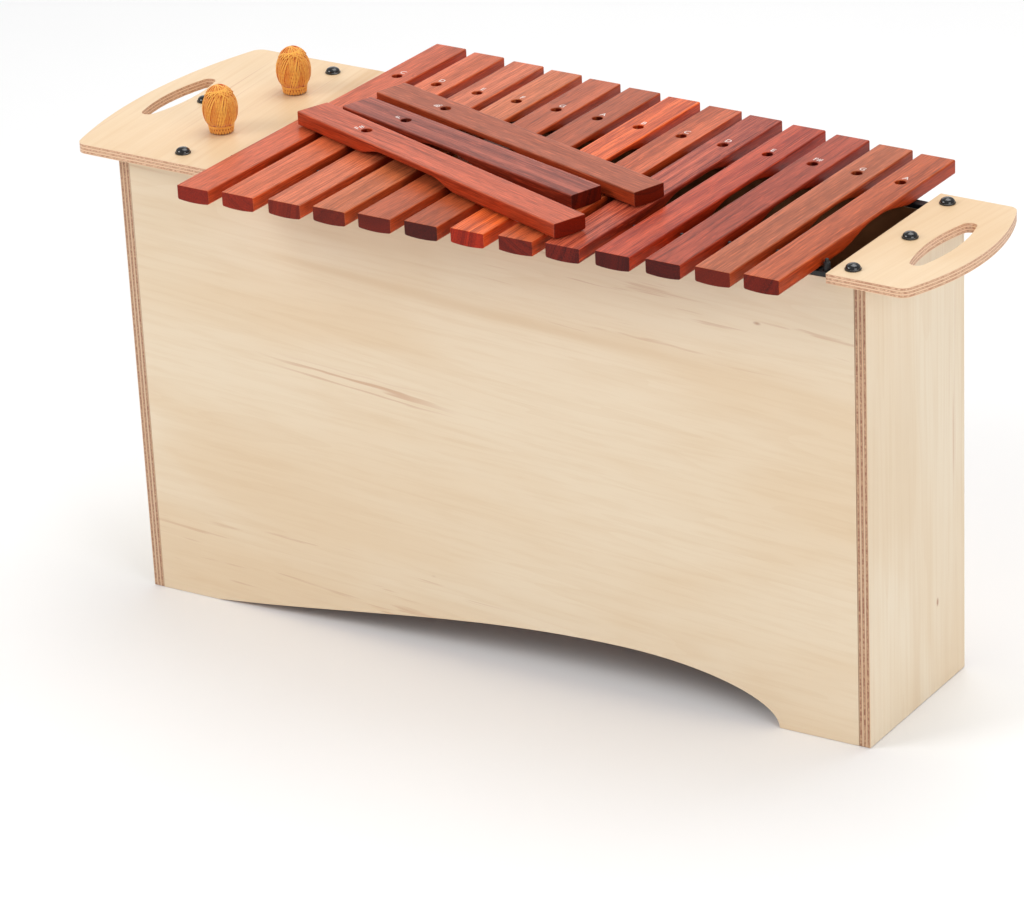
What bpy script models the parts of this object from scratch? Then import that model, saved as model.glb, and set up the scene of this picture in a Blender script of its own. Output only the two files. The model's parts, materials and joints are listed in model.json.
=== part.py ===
"""A floor-standing bass xylophone: thirteen tone bars on a tapered plywood resonator case, three exchange
bars laid on top of them and two mallets standing in the left handle board.

The case is symmetric about the plane y = 0 and narrows from the low bars at -X to the high bars at +X.
The origin is on the floor, under the middle of the instrument. Run it from Blender's text editor, or with
blender --background --python part.py
"""

import math

import bmesh
import bpy
from mathutils import Matrix, Vector

# Driving dimensions, in metres ---------------------------------------------------------------------------
GAP = 0.0003  # air left between two pieces that touch

BAR_NOTES = ("c", "d", "e", "f", "g", "a", "b", "c_high", "d_high", "e_high", "f_sharp", "g_high", "a_high")
BAR_WIDTH = 0.038
BAR_SPACE = 0.012  # between neighbouring bars
BAR_THICK = 0.016
BAR_LONGEST = 0.450
BAR_SHORTEST = 0.339
BAR_EDGE = 0.0012  # bevel on every edge of a bar
BAR_HOLE_RADIUS = 0.0055
# How far each bar has slid sideways on its pins, as a share of its free play there
BAR_SLIP = (0.0, 0.0, 0.8, 0.3, -0.2, -0.2, -0.7, -0.2, -0.9, 0.0, 0.8, 0.8, 0.0)
NODE_SHARE = 0.223  # a free bar is still at this share of its length from either end
TUNED_THICK_LOW = 0.0080  # thickness left above the hollow of the lowest bar
TUNED_THICK_HIGH = 0.0050
TUNED_FROM_HOLE = 0.007  # from the hole to the hollow that is cut under the bar
TUNED_FROM_STILL_LOW = 0.070  # from the other still point to the hollow, on the lowest bar
TUNED_FROM_STILL_HIGH = 0.036
TUNED_RAMP_LOW = 0.030  # length over which the hollow of the lowest bar reaches its depth
TUNED_RAMP_HIGH = 0.062
TUNED_STEPS = 8

CASE_HEIGHT = 0.480
CASE_PLY = 0.011  # front and back panels
END_PLY = 0.012  # end panels
LEFT_BAY = 0.140  # from the lowest bar to the outside of the left end panel
RIGHT_BAY = 0.048  # from the highest bar to the outside of the right end panel
PANEL_REST = 0.5  # the bars lie on the middle of the panel's top edge

ARCH_LEFT_FOOT = 0.079  # length of the case that stands on the floor, left of the arch
ARCH_RIGHT_FOOT = 0.097
ARCH_RISE = 0.050
ARCH_RUN_DOWN = 0.172  # from the arch's highest point to its right foot

FLOOR_PLY = 0.008
FLOOR_LEFT_Z = 0.066  # underside of the resonator floor at the left end panel
FLOOR_RIGHT_Z = 0.250
DIVIDER_PLY = 0.006
DIVIDER_TOP_Z = 0.455
DIVIDER_AFTER = (3, 6, 9)  # a divider stands below the space that follows each of these bars

FLANGE_PLY = 0.010
LEFT_FLANGE_FROM_BAR = 0.012
RIGHT_FLANGE_FROM_BAR = 0.015
FLANGE_CORNER = 0.012
# slot_inset runs from the board's outermost point to the middle of its hand slot
LEFT_FLANGE = {"reach": 0.190, "half": 0.155, "bulge": 0.024, "slot_inset": 0.035}
RIGHT_FLANGE = {"reach": 0.105, "half": 0.111, "bulge": 0.024, "slot_inset": 0.043}
SLOT_HALF_LENGTH = 0.058
SLOT_HALF_WIDTH = 0.0145
SLOT_TIP_RADIUS = 0.0075

SCREW_CAP_RADIUS = 0.008
SCREW_CAP_HEIGHT = 0.006
SCREW_RADIUS = 0.002
SCREW_LENGTH = 0.034
SCREW_CLEARANCE = 0.0004
LEFT_SCREW_INSET = 0.075  # from the left end panel's outside to the screws in the long panels
RIGHT_SCREW_INSET = 0.0155

RAIL_HEIGHT = 0.005
PIN_RADIUS = 0.0034
PIN_HEIGHT = 0.0080
NUB_RADIUS = 0.0020
NUB_HEIGHT = 0.0034
PIN_ROOT = 0.0015  # how far a pin is moulded into its rail

MALLET_X_FROM_END = 0.074  # from the left end panel's outside
MALLET_Y = 0.063
MALLET_LENGTH = 0.360
SHAFT_RADIUS = 0.004
SHAFT_CLEARANCE = 0.0006
HEAD_RADIUS = 0.0185
HEAD_HEIGHT = 0.049
NECK_RADIUS = 0.0115
HEAD_BORE = 0.034

# The exchange bars: name, length, heading of the end with the hole in degrees, gap to the bar before it,
# and how far it is slid along that bar towards the end with the hole
EXCHANGE_START = (-0.063, -0.093)  # middle of the first one
EXCHANGE_BARS = (
    ("exchange_bar_f_sharp", 0.415, 160.5, 0.0, 0.0),
    ("exchange_bar_f", 0.350, 163.0, 0.011, 0.014),
    ("exchange_bar_b_flat", 0.395, 162.5, 0.0095, -0.015),
)

ROUND_STEPS = 32
SMALL_STEPS = 20
ARC_STEPS = 24
CORNER_STEPS = 8

# Sizes that follow from them -----------------------------------------------------------------------------
BAR_COUNT = len(BAR_NOTES)
BAR_PLAY = min(BAR_HOLE_RADIUS, BAR_SPACE / 2) - PIN_RADIUS - GAP
PITCH = BAR_WIDTH + BAR_SPACE
KEYBOARD = BAR_COUNT * BAR_WIDTH + (BAR_COUNT - 1) * BAR_SPACE
SHORTENING = (BAR_LONGEST - BAR_SHORTEST) / (BAR_COUNT - 1)

# The keyboard's place along X centres the whole instrument, handle boards included, on x = 0
LEFT_OVERHANG = LEFT_FLANGE_FROM_BAR + LEFT_FLANGE["reach"]
RIGHT_OVERHANG = RIGHT_FLANGE_FROM_BAR + RIGHT_FLANGE["reach"]
KEYBOARD_LEFT = (LEFT_OVERHANG - RIGHT_OVERHANG - KEYBOARD) / 2
KEYBOARD_RIGHT = KEYBOARD_LEFT + KEYBOARD
CASE_LEFT = KEYBOARD_LEFT - LEFT_BAY
CASE_RIGHT = KEYBOARD_RIGHT + RIGHT_BAY

RAIL_Z = CASE_HEIGHT + GAP
BAR_Z = RAIL_Z + RAIL_HEIGHT + GAP
BAR_TOP_Z = BAR_Z + BAR_THICK
FLANGE_Z = CASE_HEIGHT + GAP
FLANGE_TOP_Z = FLANGE_Z + FLANGE_PLY


def bar_length(index):
    return BAR_LONGEST - SHORTENING * index


def bar_middle(index):
    return KEYBOARD_LEFT + BAR_WIDTH / 2 + PITCH * index


def node_half(x):
    """Half the distance between the two lines of still points, at x."""
    index = (x - bar_middle(0)) / PITCH
    return bar_length(index) * (0.5 - NODE_SHARE)


def case_half(x):
    """Half the case's outside depth at x, so that the bars lie on the middle of its top edges."""
    return node_half(x) + CASE_PLY * PANEL_REST


# Scene and materials -------------------------------------------------------------------------------------
for thing in list(bpy.data.objects):
    bpy.data.objects.remove(thing, do_unlink=True)


def new_collection(name):
    group = bpy.data.collections.new(name)
    bpy.context.scene.collection.children.link(group)
    return group


PARTS = new_collection("bass_xylophone")
CUTTERS = new_collection("cutters")


def new_material(name, colour, roughness, metallic=0.0):
    material = bpy.data.materials.new(name)
    material.use_nodes = True
    shader = material.node_tree.nodes["Principled BSDF"]
    shader.inputs["Base Color"].default_value = (*colour, 1.0)
    shader.inputs["Roughness"].default_value = roughness
    shader.inputs["Metallic"].default_value = metallic
    material.diffuse_color = (*colour, 1.0)
    return material


BIRCH_PLY = new_material("birch_ply", (0.80, 0.63, 0.41), 0.45)
INNER_PLY = new_material("inner_ply", (0.62, 0.46, 0.28), 0.60)
PADAUK = new_material("padauk", (0.49, 0.12, 0.055), 0.35)
DARK_PADAUK = new_material("dark_padauk", (0.26, 0.07, 0.045), 0.35)
BLACK_RUBBER = new_material("black_rubber", (0.012, 0.012, 0.013), 0.55)
BLACK_PLASTIC = new_material("black_plastic", (0.010, 0.011, 0.012), 0.18)
YARN = new_material("orange_yarn", (0.72, 0.28, 0.045), 0.85)
BEECH_DOWEL = new_material("beech_dowel", (0.66, 0.45, 0.24), 0.50)


# Tools ---------------------------------------------------------------------------------------------------
def add_object(name, mesh, group, material=None):
    thing = bpy.data.objects.new(name, mesh)
    group.objects.link(thing)
    if material:
        mesh.materials.append(material)
    if group is CUTTERS:
        thing.hide_render = True
        thing.display_type = "WIRE"
    return thing


def flat_curve(outlines, half_thickness):
    """A filled 2D curve in its own XY plane. The outlines after the first are holes."""
    curve = bpy.data.curves.new("outline", "CURVE")
    curve.dimensions = "2D"
    curve.fill_mode = "BOTH"
    curve.extrude = half_thickness
    for outline in outlines:
        spline = curve.splines.new("POLY")
        spline.points.add(len(outline) - 1)
        for point, (x, y) in zip(spline.points, outline):
            point.co = (x, y, 0.0, 1.0)
        spline.use_cyclic_u = True
    return curve


def mesh_of_curve(curve):
    """The curve's solid as a closed mesh, with its loose caps welded to its sides."""
    holder = bpy.data.objects.new("holder", curve)
    bpy.context.scene.collection.objects.link(holder)
    bpy.context.view_layer.update()
    evaluated = holder.evaluated_get(bpy.context.evaluated_depsgraph_get())
    mesh = bpy.data.meshes.new_from_object(evaluated)
    bpy.data.objects.remove(holder, do_unlink=True)
    bpy.data.curves.remove(curve)
    welded = bmesh.new()
    welded.from_mesh(mesh)
    bmesh.ops.remove_doubles(welded, verts=welded.verts, dist=1e-6)
    bmesh.ops.recalc_face_normals(welded, faces=welded.faces)
    welded.to_mesh(mesh)
    welded.free()
    return mesh


def board(name, outlines, bottom_z, thickness, group=PARTS, material=BIRCH_PLY):
    """A flat board that lies level, from its outline seen from above."""
    mesh = mesh_of_curve(flat_curve(outlines, thickness / 2))
    thing = add_object(name, mesh, group, material)
    thing.location.z = bottom_z + thickness / 2
    return thing


def upright_prism(name, outline, depth, group, material=None):
    """A prism along Y, from its outline seen from the front as (x, z) points."""
    thing = add_object(name, mesh_of_curve(flat_curve([outline], depth / 2)), group, material)
    thing.rotation_euler.x = math.radians(90)
    return thing


def cylinder_cutter(name, radius, x, y, low_z, high_z):
    mesh = bpy.data.meshes.new(name)
    shape = bmesh.new()
    bmesh.ops.create_cone(
        shape, cap_ends=True, segments=SMALL_STEPS, radius1=radius, radius2=radius, depth=high_z - low_z
    )
    shape.to_mesh(mesh)
    shape.free()
    thing = add_object(name, mesh, CUTTERS)
    thing.location = (x, y, (low_z + high_z) / 2)
    return thing


def boolean(thing, other, operation):
    modifier = thing.modifiers.new(f"{operation.lower()}_{other.name}", "BOOLEAN")
    modifier.operation = operation
    modifier.object = other


def bevel(thing, width):
    modifier = thing.modifiers.new("edges", "BEVEL")
    modifier.width = width
    modifier.segments = 1
    modifier.limit_method = "ANGLE"
    modifier.angle_limit = math.radians(40)


def turned(name, profile, steps, material, group=PARTS):
    """A turned piece from (radius, z) points that run from the top to the bottom."""
    mesh = bpy.data.meshes.new(name)
    shape = bmesh.new()
    line = [shape.verts.new((radius, 0.0, z)) for radius, z in profile]
    for first, second in zip(line, line[1:]):
        shape.edges.new((first, second))
    shape.to_mesh(mesh)
    shape.free()
    thing = add_object(name, mesh, group, material)
    modifier = thing.modifiers.new("turn", "SCREW")
    modifier.steps = steps
    modifier.render_steps = steps
    modifier.use_merge_vertices = True
    modifier.merge_threshold = 1e-5
    modifier.use_smooth_shade = True
    return thing


def arc_points(start, end, bulge, steps):
    """Points from start to end on a circular arc that bows out to the right of the way by bulge."""
    start, end = Vector(start), Vector(end)
    half = (end - start).length / 2
    along = (end - start).normalized()
    out = Vector((along.y, -along.x))
    radius = (half**2 + bulge**2) / (2 * bulge)
    centre = (start + end) / 2 + out * (bulge - radius)
    sweep = math.asin(half / radius)
    points = []
    for step in range(steps + 1):
        angle = sweep * (2 * step / steps - 1)
        points.append(centre + out * (radius * math.cos(angle)) + along * (radius * math.sin(angle)))
    return points


def rounded(corners, steps=CORNER_STEPS):
    """The closed outline with an arc of each corner's radius, from ((x, y), radius) pairs."""
    outline = []
    for index, (corner, radius) in enumerate(corners):
        corner = Vector(corner)
        if not radius:
            outline.append(tuple(corner))
            continue
        before = (Vector(corners[index - 1][0]) - corner).normalized()
        after = (Vector(corners[(index + 1) % len(corners)][0]) - corner).normalized()
        half_angle = before.angle(after) / 2
        centre = corner + (before + after).normalized() * (radius / math.sin(half_angle))
        first = corner + before * (radius / math.tan(half_angle)) - centre
        last = corner + after * (radius / math.tan(half_angle)) - centre
        turn = math.atan2(first.x * last.y - first.y * last.x, first.dot(last))
        for step in range(steps + 1):
            outline.append(tuple(centre + Matrix.Rotation(turn * step / steps, 2) @ first))
    return outline


def circle(radius, x, y, steps=SMALL_STEPS):
    return [
        (
            x + radius * math.cos(2 * math.pi * step / steps),
            y + radius * math.sin(2 * math.pi * step / steps),
        )
        for step in range(steps)
    ]


# Case ----------------------------------------------------------------------------------------------------
INNER_LEFT = CASE_LEFT + END_PLY
INNER_RIGHT = CASE_RIGHT - END_PLY


def long_panel_outline(side):
    """The front panel (side -1) or back panel (side 1) from above, between the end panels."""
    left, right = INNER_LEFT + GAP, INNER_RIGHT - GAP
    outside = [(left, side * case_half(left)), (right, side * case_half(right))]
    inside = [(x, y - side * CASE_PLY) for x, y in reversed(outside)]
    return outside + inside


def end_panel_outline(outer, inner):
    return [
        (outer, -case_half(outer)),
        (inner, -case_half(inner)),
        (inner, case_half(inner)),
        (outer, case_half(outer)),
    ]


def arch_outline():
    """The arch from the front: a long easy rise to its peak, then a quarter of an ellipse down."""
    left_foot = CASE_LEFT + ARCH_LEFT_FOOT
    right_foot = CASE_RIGHT - ARCH_RIGHT_FOOT
    peak = right_foot - ARCH_RUN_DOWN
    rise = [Vector(p) for p in ((0.0, 0.0), (0.34, 0.32), (0.64, 1.0), (1.0, 1.0))]
    outline = [(left_foot, -ARCH_RISE)]
    for step in range(ARC_STEPS):
        t = step / ARC_STEPS
        weights = ((1 - t) ** 3, 3 * t * (1 - t) ** 2, 3 * t**2 * (1 - t), t**3)
        share = sum((w * p for w, p in zip(weights, rise)), Vector((0.0, 0.0)))
        outline.append((left_foot + share.x * (peak - left_foot), share.y * ARCH_RISE))
    for step in range(ARC_STEPS + 1):
        angle = math.pi / 2 * step / ARC_STEPS
        outline.append((peak + ARCH_RUN_DOWN * math.sin(angle), ARCH_RISE * math.cos(angle)))
    outline.append((right_foot, -ARCH_RISE))
    return outline


WIDE = 2 * BAR_LONGEST  # longer than the case is deep, for cutters

front_panel = board("front_panel", [long_panel_outline(-1)], 0.0, CASE_HEIGHT)
back_panel = board("back_panel", [long_panel_outline(1)], 0.0, CASE_HEIGHT)
left_end_panel = board("left_end_panel", [end_panel_outline(CASE_LEFT, INNER_LEFT)], 0.0, CASE_HEIGHT)
right_end_panel = board("right_end_panel", [end_panel_outline(CASE_RIGHT, INNER_RIGHT)], 0.0, CASE_HEIGHT)

arch_cutter = upright_prism("arch_cutter", arch_outline(), WIDE, CUTTERS)
for panel in (front_panel, back_panel):
    boolean(panel, arch_cutter, "DIFFERENCE")


# Resonator floor and dividers ----------------------------------------------------------------------------
def inside_of_case():
    """The room between the four panels, less the gap, as the shape that the floor and dividers fill."""
    left, right = INNER_LEFT + GAP, INNER_RIGHT - GAP
    wall = CASE_PLY + GAP
    outline = [
        (left, -case_half(left) + wall),
        (right, -case_half(right) + wall),
        (right, case_half(right) - wall),
        (left, case_half(left) - wall),
    ]
    return board("inside_of_case", [outline], 0.0, CASE_HEIGHT, CUTTERS, None)


def floor_z(x):
    """The underside of the sloping resonator floor."""
    share = (x - INNER_LEFT) / (INNER_RIGHT - INNER_LEFT)
    return FLOOR_LEFT_Z + share * (FLOOR_RIGHT_Z - FLOOR_LEFT_Z)


room = inside_of_case()
past_left, past_right = CASE_LEFT - END_PLY, CASE_RIGHT + END_PLY
floor_outline = [
    (past_left, floor_z(past_left)),
    (past_right, floor_z(past_right)),
    (past_right, floor_z(past_right) + FLOOR_PLY),
    (past_left, floor_z(past_left) + FLOOR_PLY),
]
resonator_floor = upright_prism("resonator_floor", floor_outline, WIDE, PARTS, INNER_PLY)
boolean(resonator_floor, room, "INTERSECT")

for number, bars_before in enumerate(DIVIDER_AFTER, start=1):
    middle = KEYBOARD_LEFT + PITCH * bars_before - BAR_SPACE / 2
    low_x, high_x = middle - DIVIDER_PLY / 2, middle + DIVIDER_PLY / 2
    divider_outline = [
        (low_x, floor_z(low_x) + FLOOR_PLY + GAP),
        (high_x, floor_z(high_x) + FLOOR_PLY + GAP),
        (high_x, DIVIDER_TOP_Z),
        (low_x, DIVIDER_TOP_Z),
    ]
    divider = upright_prism(f"divider_{number}", divider_outline, WIDE, PARTS, INNER_PLY)
    boolean(divider, room, "INTERSECT")


# Handle boards and their screws --------------------------------------------------------------------------
LEFT_SCREWS = [
    (CASE_LEFT + LEFT_SCREW_INSET, -node_half(CASE_LEFT + LEFT_SCREW_INSET)),
    (CASE_LEFT + END_PLY / 2, 0.0),
    (CASE_LEFT + LEFT_SCREW_INSET, node_half(CASE_LEFT + LEFT_SCREW_INSET)),
]
RIGHT_SCREWS = [
    (CASE_RIGHT - RIGHT_SCREW_INSET, -node_half(CASE_RIGHT - RIGHT_SCREW_INSET)),
    (CASE_RIGHT - END_PLY / 2, 0.0),
    (CASE_RIGHT - RIGHT_SCREW_INSET, node_half(CASE_RIGHT - RIGHT_SCREW_INSET)),
]
MALLET_X = CASE_LEFT + MALLET_X_FROM_END
MALLET_PLACES = (("front", -MALLET_Y), ("back", MALLET_Y))


def hand_slot(x):
    """A lens of two long arcs that run smoothly into round tips, its middle at x."""
    length, width, tip = SLOT_HALF_LENGTH, SLOT_HALF_WIDTH, SLOT_TIP_RADIUS
    radius = ((length - tip) ** 2 / (width - tip) + tip + width) / 2
    spread = math.asin((length - tip) / (radius - tip))
    tip_spread = math.pi / 2 - spread
    outline = []
    for centre_x, centre_y, size, heading, half_turn in (
        (x + width - radius, 0.0, radius, 0.0, spread),
        (x, length - tip, tip, math.pi / 2, tip_spread),
        (x - width + radius, 0.0, radius, math.pi, spread),
        (x, tip - length, tip, -math.pi / 2, tip_spread),
    ):
        for step in range(CORNER_STEPS):
            angle = heading + half_turn * (2 * step / CORNER_STEPS - 1)
            outline.append((centre_x + size * math.cos(angle), centre_y + size * math.sin(angle)))
    return outline


def handle_board(name, side, inner_x, sizes, holes):
    """A board that lies on one end of the case: a straight inner edge and a bowed rim with a hand slot."""
    outer_x = inner_x + side * sizes["reach"]
    corner_x = outer_x - side * sizes["bulge"]
    half = sizes["half"]
    rim = arc_points((corner_x, -side * half), (corner_x, side * half), sizes["bulge"], ARC_STEPS)
    radii = [FLANGE_CORNER] + [0.0] * (len(rim) - 2) + [FLANGE_CORNER]
    inner = [((inner_x, side * half), 0.0), ((inner_x, -side * half), 0.0)]
    outline = rounded(list(zip(rim, radii)) + inner)
    slot = hand_slot(outer_x - side * sizes["slot_inset"])
    return board(name, [outline, slot] + holes, FLANGE_Z, FLANGE_PLY)


def screw_holes(places):
    return [circle(SCREW_RADIUS + SCREW_CLEARANCE, x, y) for x, y in places]


mallet_holes = [circle(SHAFT_RADIUS + SHAFT_CLEARANCE, MALLET_X, y) for _, y in MALLET_PLACES]
left_flange = handle_board(
    "left_handle_board",
    -1,
    KEYBOARD_LEFT - LEFT_FLANGE_FROM_BAR,
    LEFT_FLANGE,
    screw_holes(LEFT_SCREWS) + mallet_holes,
)
right_flange = handle_board(
    "right_handle_board",
    1,
    KEYBOARD_RIGHT + RIGHT_FLANGE_FROM_BAR,
    RIGHT_FLANGE,
    screw_holes(RIGHT_SCREWS),
)


def cap_screw(name, x, y):
    """A wood screw with a domed black cap, its point in the panel below the handle board."""
    dome = []
    for step in range(5):
        angle = math.pi / 2 * step / 5
        dome.append((SCREW_CAP_RADIUS * math.sin(angle), SCREW_CAP_HEIGHT * math.cos(angle)))
    profile = dome + [
        (SCREW_CAP_RADIUS, SCREW_CAP_HEIGHT * 0.15),
        (SCREW_CAP_RADIUS, 0.0),
        (SCREW_RADIUS, 0.0),
        (SCREW_RADIUS, -SCREW_LENGTH + 2 * SCREW_RADIUS),
        (0.0, -SCREW_LENGTH),
    ]
    screw = turned(name, profile, SMALL_STEPS, BLACK_PLASTIC)
    screw.location = (x, y, FLANGE_TOP_Z + GAP)


def pilot_hole(panel, x, y):
    bottom = FLANGE_TOP_Z - SCREW_LENGTH - SCREW_CLEARANCE
    hole = cylinder_cutter(
        f"pilot_{panel.name}_{x:.3f}", SCREW_RADIUS + SCREW_CLEARANCE, x, y, bottom, FLANGE_TOP_Z
    )
    boolean(panel, hole, "DIFFERENCE")


for end, places, end_panel in (
    ("left", LEFT_SCREWS, left_end_panel),
    ("right", RIGHT_SCREWS, right_end_panel),
):
    for position, place, panel in zip(
        ("front", "middle", "back"), places, (front_panel, end_panel, back_panel)
    ):
        cap_screw(f"{end}_{position}_cap_screw", *place)
        pilot_hole(panel, *place)


# Rails ---------------------------------------------------------------------------------------------------
def pin_group(name, places):
    """All the pins of one rail, each a post with a small nub on top, as one mesh to join to the rail."""
    shape = bmesh.new()
    low = RAIL_Z + RAIL_HEIGHT - PIN_ROOT
    shoulder = RAIL_Z + RAIL_HEIGHT + PIN_HEIGHT
    for x, y in places:
        for radius, bottom, top in (
            (PIN_RADIUS, low, shoulder),
            (NUB_RADIUS, shoulder - PIN_ROOT, shoulder + NUB_HEIGHT),
        ):
            bmesh.ops.create_cone(
                shape,
                cap_ends=True,
                segments=SMALL_STEPS,
                radius1=radius,
                radius2=radius,
                depth=top - bottom,
                matrix=Matrix.Translation((x, y, (bottom + top) / 2)),
            )
    mesh = bpy.data.meshes.new(name)
    shape.to_mesh(mesh)
    shape.free()
    return add_object(name, mesh, CUTTERS)


def rail(name, side, pin_places):
    """The soft strip on a long panel's top edge, with the pins that keep the bars in place."""
    left = KEYBOARD_LEFT - LEFT_FLANGE_FROM_BAR + GAP
    right = KEYBOARD_RIGHT + RIGHT_FLANGE_FROM_BAR - GAP
    outer = [(left, side * case_half(left)), (right, side * case_half(right))]
    inner = [(x, y - side * CASE_PLY) for x, y in reversed(outer)]
    strip = board(name, [outer + inner], RAIL_Z, RAIL_HEIGHT, PARTS, BLACK_RUBBER)
    boolean(strip, pin_group(f"{name}_pins", pin_places), "UNION")
    strip.modifiers[-1].use_self = True  # each nub overlaps the post below it


gaps = [KEYBOARD_LEFT - BAR_SPACE / 2 + PITCH * index for index in range(BAR_COUNT + 1)]
middles = [bar_middle(index) for index in range(BAR_COUNT)]
rail("front_rail", -1, [(x, -node_half(x)) for x in gaps])
rail("back_rail", 1, [(x, node_half(x)) for x in middles])


# Tone bars -----------------------------------------------------------------------------------------------
def bar_outline(length, pitch_share):
    """A bar from its side: flat on top, with a shallow hollow cut under it to tune it."""

    def between(low, high):
        return low + pitch_share * (high - low)

    half = length / 2
    still = length * (0.5 - NODE_SHARE)
    start = between(TUNED_FROM_STILL_LOW, TUNED_FROM_STILL_HIGH) - still
    end = still - TUNED_FROM_HOLE
    ramp = between(TUNED_RAMP_LOW, TUNED_RAMP_HIGH)
    depth = BAR_THICK - between(TUNED_THICK_LOW, TUNED_THICK_HIGH)
    rise = []
    for step in range(TUNED_STEPS + 1):
        share = step / TUNED_STEPS
        rise.append((ramp * share, depth * share * share * (3 - 2 * share)))
    hollow = [(start + u, z) for u, z in rise] + [(end - u, z) for u, z in reversed(rise)]
    return [(-half, 0.0)] + hollow + [(half, 0.0), (half, BAR_THICK), (-half, BAR_THICK)]


def tone_bar(name, length, middle, bottom_z, heading, pitch_share, material):
    """A bar that points along heading, its hole near that end. pitch_share is 0 at the lowest bar."""
    outline = bar_outline(length, pitch_share)
    bar = add_object(name, mesh_of_curve(flat_curve([outline], BAR_WIDTH / 2)), PARTS, material)
    bar.location = (*middle, bottom_z)
    bar.rotation_euler = (math.radians(90), 0.0, math.radians(heading))
    bevel(bar, BAR_EDGE)
    reach = length * (0.5 - NODE_SHARE)
    hole_x = middle[0] + reach * math.cos(math.radians(heading))
    hole_y = middle[1] + reach * math.sin(math.radians(heading))
    hole = cylinder_cutter(
        f"hole_{name}", BAR_HOLE_RADIUS, hole_x, hole_y, bottom_z - BAR_THICK, bottom_z + 2 * BAR_THICK
    )
    boolean(bar, hole, "DIFFERENCE")


for index, (note, slip) in enumerate(zip(BAR_NOTES, BAR_SLIP)):
    tone_bar(
        f"bar_{index + 1:02d}_{note}",
        bar_length(index),
        (bar_middle(index) + slip * BAR_PLAY, 0.0),
        BAR_Z,
        90.0,
        index / (BAR_COUNT - 1),
        PADAUK,
    )

middle = Vector(EXCHANGE_START)
along, across = Vector((1.0, 0.0)), Vector((0.0, 1.0))
for name, length, heading, gap_before, slide in EXCHANGE_BARS:
    if gap_before:
        middle += across * (BAR_WIDTH + gap_before) + along * slide
    along = Vector((math.cos(math.radians(heading)), math.sin(math.radians(heading))))
    across = Vector((along.y, -along.x))
    share = (BAR_LONGEST - length) / (BAR_LONGEST - BAR_SHORTEST)
    finish = DARK_PADAUK if name == "exchange_bar_f" else PADAUK
    tone_bar(name, length, middle, BAR_TOP_Z + GAP, heading, share, finish)


# Mallets -------------------------------------------------------------------------------------------------
def mallet(place, x, y):
    """A wound egg-shaped head on a dowel that stands in its hole, with the head on the board."""
    bore_radius = SHAFT_RADIUS + GAP
    profile = []
    for step in range(8):
        angle = math.radians(138) * step / 7
        lift = 0.5 * HEAD_HEIGHT * (1 + math.cos(angle))
        profile.append((HEAD_RADIUS * math.sin(angle), lift))
    profile += [
        (NECK_RADIUS, 0.0035),
        (NECK_RADIUS - 0.002, 0.0),
        (bore_radius, 0.0),
        (bore_radius, HEAD_BORE),
        (0.0, HEAD_BORE),
    ]
    head = turned(f"{place}_mallet_head", profile, ROUND_STEPS, YARN)
    head.location = (x, y, FLANGE_TOP_Z + GAP)
    top = HEAD_BORE - GAP
    bottom = HEAD_HEIGHT - MALLET_LENGTH
    shaft_profile = [
        (0.0, top),
        (SHAFT_RADIUS, top),
        (SHAFT_RADIUS, bottom + SHAFT_RADIUS / 2),
        (SHAFT_RADIUS / 2, bottom),
        (0.0, bottom),
    ]
    shaft = turned(f"{place}_mallet_shaft", shaft_profile, SMALL_STEPS, BEECH_DOWEL)
    shaft.location = (x, y, FLANGE_TOP_Z + GAP)


for place, y in MALLET_PLACES:
    mallet(place, MALLET_X, y)
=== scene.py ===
# %% [markdown]
# # A bass xylophone on its resonator case
# The instrument is thirteen loose tone bars on a tall plywood box that makes them louder. Three exchange
# bars lie on top, and two wound mallets stand in the left handle board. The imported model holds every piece
# at its true place and size, so it is loaded first, and everything below takes its place from it.
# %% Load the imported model
import json
import math

import bmesh
import bpy
import numpy as np
from mathutils import Matrix, Vector

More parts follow.
